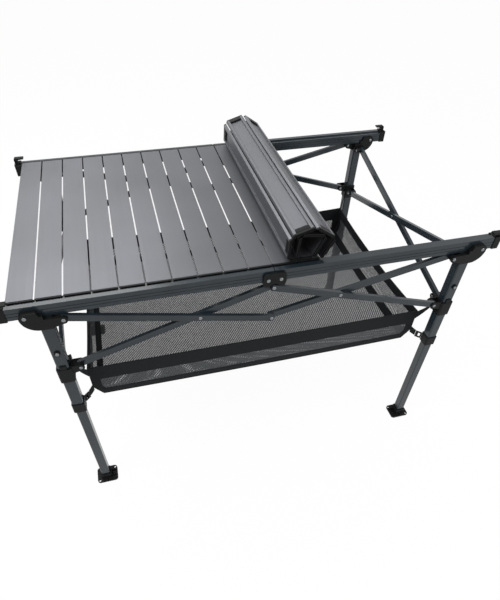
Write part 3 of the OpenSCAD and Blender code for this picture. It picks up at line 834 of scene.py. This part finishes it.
def side_point(side, s, h, basket):
    """A point of a side, at s from -1 to 1 along it and h from 0 at the bottom to 1 at the top."""
    low = BASKET_LOW.z - basket.edge_sag * arch(s)
    high = BASKET_HIGH.z - basket.rim_sag * arch(s)
    inward = basket.bow * arch(s) * (LOW_BOW + (1 - LOW_BOW) * h)
    half_x, half_y = side_reach(h, basket)
    z = low + h * (high - low)
    if side in LONG_SIDES:
        sign = -1 if side == "near" else 1
        return (s * half_x, sign * (half_y - inward), z)
    sign = -1 if side == "left" else 1
    return (sign * (half_x - inward), s * half_y, z)


def side_size(side):
    """The flat length and height of a side."""
    half = BASKET_HIGH.x if side in LONG_SIDES else BASKET_HIGH.y
    return 2 * half, BASKET_HIGH.z - BASKET_LOW.z


def web_strip(name, side, s0, s1, h0, h1, basket, steps):
    """A strip of webbing sewn over a side, between two shares of its length and height."""
    wide, tall = side_size(side)
    flat = ((s1 - s0) / 2 * wide, (h1 - h0) * tall)

    def point(u, v):
        return side_point(side, s0 + u * (s1 - s0), h0 + v * (h1 - h0), basket)

    return thicken(cloth_grid(name, point, flat, steps), basket.web)


def strap_ends(corner, upper, basket):
    """The root on the basket's corner and the far end of a corner's upper or lower strap."""
    split = (STRAPS_LOW.z + STRAPS_HIGH.z) / 2
    sx = -1 if "left" in corner else 1
    sy = -1 if "near" in corner else 1
    points = [v.co for v in frame["nodes"]["basket_straps"].data.vertices]
    points = [p for p in points if p.x * sx > 0 and p.y * sy > 0 and (p.z > split) == upper]
    reach = [abs(p.x) for p in points]
    ends = []
    for limit in (min(reach), max(reach)):
        close = [p for p in points if abs(abs(p.x) - limit) < STRAP_TIP]
        ends.append(sum(close, Vector()) / len(close))
    half_x, half_y = side_reach(1, basket)
    height = ends[0].z if upper else BASKET_LOW.z + basket.corner_cut
    return Vector((sx * half_x, sy * half_y, height)), ends[1]


def strap_piece(name, root, end, wide_root, wide_end, thickness):
    """A flat strap on edge from its root to its end, tapered, with a little slack."""
    run = (end - root).length
    slack = STRAP_SLACK * run

    def point(u, v):
        middle_line = root.lerp(end, u) - Vector((0, 0, slack * arch(2 * u - 1)))
        return middle_line + Vector((0, 0, (v - 0.5) * (wide_root + u * (wide_end - wide_root))))

    flat = (run, (wide_root + wide_end) / 2)
    return thicken(cloth_grid(name, point, flat, STRAP_STEPS), thickness)


class CAMP_OT_basket(bpy.types.Operator):
    """Makes the basket's mesh, webbing, corner straps and hooks"""

    bl_idname = "object.camp_table_basket"
    bl_label = "Basket"

    def execute(self, context):
        coat, basket = settings()[1:3]
        net, web = woven_mesh(basket), black_webbing(basket)
        plastic = bpy.data.materials["moulded_frame_nylon"]
        self.make_mesh(basket, net)
        self.make_webbing(basket, web)
        for c in CORNERS:
            root, end = strap_ends(c, True, basket)
            widths = (basket.tab_root, basket.tab_end)
            tab = strap_piece(f"corner_tab_{c}", root, end, *widths, basket.strap)
            dress(tab, web, "frame", "basket_web", "basket_straps")
            root, end = strap_ends(c, False, basket)
            widths = (basket.strap_root, basket.strap_end)
            strap = strap_piece(f"lower_strap_{c}", root, end, *widths, basket.strap)
            dress(strap, web, "frame", "basket_web", "basket_straps")
        eased_copy("basket_hooks", "moulded_basket_hooks", coat.plastic_edge, plastic, "frame_plastic")
        return {"FINISHED"}

    def make_mesh(self, basket, net):
        """The floor and the four sides."""
        flat = (2 * BASKET_HIGH.x, 2 * BASKET_HIGH.y)
        floor = cloth_grid("mesh_floor", lambda u, v: floor_point(u, v, basket), flat, FLOOR_STEPS)
        thicken(floor, basket.sheet)
        dress(floor, net, "frame", "basket_net", "basket_mesh")
        for side in SIDES:
            flat = side_size(side)
            panel = cloth_grid(
                f"mesh_{side}_side", lambda u, v: side_point(side, 2 * u - 1, v, basket), flat, SIDE_STEPS
            )
            thicken(panel, basket.sheet)
            dress(panel, net, "frame", "basket_net", "basket_mesh")

    def make_webbing(self, basket, web):
        """The hems along the top and bottom edges and the strips up the corners."""
        for side in SIDES:
            wide, tall = side_size(side)
            hem = (basket.hem_long if side in LONG_SIDES else basket.hem_short) / tall
            low = basket.hem_low / tall
            post = 2 * basket.hem_low / wide
            strips = [
                (f"top_hem_{side}", -1, 1, 1 - hem, 1, HEM_STEPS),
                (f"bottom_band_{side}", -1, 1, 0, low, BAND_STEPS),
                (f"corner_strip_{side}_a", -1, post - 1, low, 1 - hem, CORNER_STEPS),
                (f"corner_strip_{side}_b", 1 - post, 1, low, 1 - hem, CORNER_STEPS),
            ]
            for name, s0, s1, h0, h1, steps in strips:
                strip = web_strip(name, side, s0, s1, h0, h1, basket, steps)
                dress(strip, web, "frame", "basket_web", "basket_webbing")


# Stage

# Width of the floor in metres
FLOOR_SIZE = 40
# Lamps: name, place, the point each looks at, width in metres and watts
LAMPS = (
    ("key_lamp", (-1.6, -0.9, 2.6), (0, 0, 0.6), 1.2, 40),
    ("fill_lamp", (1.9, -1.5, 1.8), (0, 0, 0.5), 1.8, 22),
    ("back_lamp", (-0.8, 1.5, 2.8), (-0.2, -0.2, 0.7), 1.5, 36),
)
# Colour of plain white light
WHITE = (1, 1, 1, 1)
# The camera's sensor in millimetres along the picture's longer side, and that side in pixels
SENSOR, PICTURE_SIDE = 36, 600


def seen_ray(tree):
    """1 for the rays that show the background: to the camera, in gloss and through glass."""
    path = add_node(tree, "ShaderNodeLightPath").outputs
    seen = add_node(tree, "ShaderNodeMath", LARGER, i0=path["Is Camera Ray"], i1=path["Is Glossy Ray"])
    seen = add_node(tree, "ShaderNodeMath", LARGER, i0=seen.outputs[0], i1=path["Is Transmission Ray"])
    return seen.outputs[0]


def make_floor(stage):
    """A plain pale floor that looks white and keeps the object's shadow."""
    deselect()
    bpy.ops.mesh.primitive_plane_add(size=FLOOR_SIZE)
    floor = bpy.context.object
    floor.name = "studio_floor"
    material, tree = new_finish("studio_floor")
    share = add_node(tree, "ShaderNodeMath", {"operation": "MULTIPLY"}, i0=seen_ray(tree), i1=stage.white)
    lit = add_node(tree, "ShaderNodeBsdfDiffuse", Color=linear(stage.floor))
    glow = add_node(tree, "ShaderNodeEmission", Color=WHITE, Strength=1.0)
    mix = add_node(tree, "ShaderNodeMixShader", i0=share.outputs[0], i1=lit.outputs[0], i2=glow.outputs[0])
    close_finish(tree, mix)
    floor.data.materials.append(material)


def make_world(stage):
    """A soft even surround that looks white behind the object."""
    world = bpy.data.worlds.new("studio")
    bpy.context.scene.world = world
    world.use_nodes = True
    tree = world.node_tree
    tree.nodes.clear()
    light = add_node(tree, "ShaderNodeBackground", Color=WHITE, Strength=stage.surround)
    shown = add_node(tree, "ShaderNodeBackground", Color=WHITE, Strength=1.0)
    mix = add_node(tree, "ShaderNodeMixShader", i0=seen_ray(tree), i1=light.outputs[0], i2=shown.outputs[0])
    add_node(tree, "ShaderNodeOutputWorld", Surface=mix.outputs[0])


def add_lamp(name, place, aim, size, watts):
    """A square soft lamp that looks at a point."""
    data = bpy.data.lights.new(name, "AREA")
    data.shape, data.size, data.energy = "SQUARE", size, watts
    lamp = bpy.data.objects.new(name, data)
    bpy.context.scene.collection.objects.link(lamp)
    lamp.location = place
    lamp.rotation_euler = (Vector(aim) - Vector(place)).to_track_quat("-Z", "Y").to_euler()


def make_camera(stage):
    """The photograph's camera: its place, direction and framing."""
    forward = Vector(
        (
            math.sin(stage.yaw) * math.cos(stage.pitch),
            math.cos(stage.yaw) * math.cos(stage.pitch),
            -math.sin(stage.pitch),
        )
    )
    right = Vector((math.cos(stage.yaw), -math.sin(stage.yaw), 0))
    up = right.cross(forward)
    right, up = (
        math.cos(stage.roll) * right + math.sin(stage.roll) * up,
        math.cos(stage.roll) * up - math.sin(stage.roll) * right,
    )
    data = bpy.data.cameras.new("camera")
    data.sensor_width = SENSOR
    data.lens = SENSOR * stage.focal / PICTURE_SIDE
    data.shift_y = stage.lift / PICTURE_SIDE
    data.clip_start = 10 * MM
    data.clip_end = 100
    camera = bpy.data.objects.new("camera", data)
    bpy.context.scene.collection.objects.link(camera)
    turn = Matrix((right, up, -forward)).transposed()
    camera.matrix_world = Matrix.Translation(Vector(stage.place)) @ turn.to_4x4()
    bpy.context.scene.camera = camera


class CAMP_OT_stage(bpy.types.Operator):
    """Makes the floor, the light and the camera"""

    bl_idname = "scene.camp_table_stage"
    bl_label = "Stage"

    def execute(self, context):
        stage = settings()[3]
        context.scene.view_settings.view_transform = "Standard"
        make_floor(stage)
        make_world(stage)
        for lamp in LAMPS:
            add_lamp(*lamp)
        make_camera(stage)
        return {"FINISHED"}


class CAMP_OT_finishes(bpy.types.Operator):
    """Makes the finishes that several groups of pieces share"""

    bl_idname = "object.camp_table_finishes"
    bl_label = "Shared Finishes"

    def execute(self, context):
        coat = settings()[1]
        powder_coat(coat)
        moulded_plastic("moulded_frame_nylon", coat.plastic)
        rivet_steel(coat)
        return {"FINISHED"}


class CAMP_PT_panel(bpy.types.Panel):
    """Lists the pieces of the table"""

    bl_idname = "CAMP_PT_panel"
    bl_label = "Camp Table"
    bl_space_type = "VIEW_3D"
    bl_region_type = "UI"
    bl_category = "Camp Table"

    def draw(self, context):
        for operator in OPERATORS:
            self.layout.operator(operator.bl_idname)


GROUPS = {
    "camp_slats": SlatSettings,
    "camp_frame": FrameSettings,
    "camp_basket": BasketSettings,
    "camp_stage": StageSettings,
}
OPERATORS = (
    CAMP_OT_stage,
    CAMP_OT_finishes,
    CAMP_OT_slats,
    CAMP_OT_rails,
    CAMP_OT_legs,
    CAMP_OT_scissors,
    CAMP_OT_basket,
)


def register():
    """Registers the settings, operators and panel."""
    for name, group in GROUPS.items():
        bpy.utils.register_class(group)
        setattr(bpy.types.Scene, name, bpy.props.PointerProperty(type=group))
    for item in (*OPERATORS, CAMP_PT_panel):
        bpy.utils.register_class(item)


def unregister():
    """Unregisters the panel, operators and settings."""
    for item in (CAMP_PT_panel, *reversed(OPERATORS)):
        bpy.utils.unregister_class(item)
    for name, group in GROUPS.items():
        delattr(bpy.types.Scene, name)
        bpy.utils.unregister_class(group)


def main():
    """Makes every piece and the stage."""
    register()
    for operator in OPERATORS:
        module, name = operator.bl_idname.split(".")
        getattr(getattr(bpy.ops, module), name)()
    deselect()


if __name__ == "__main__":
    main()
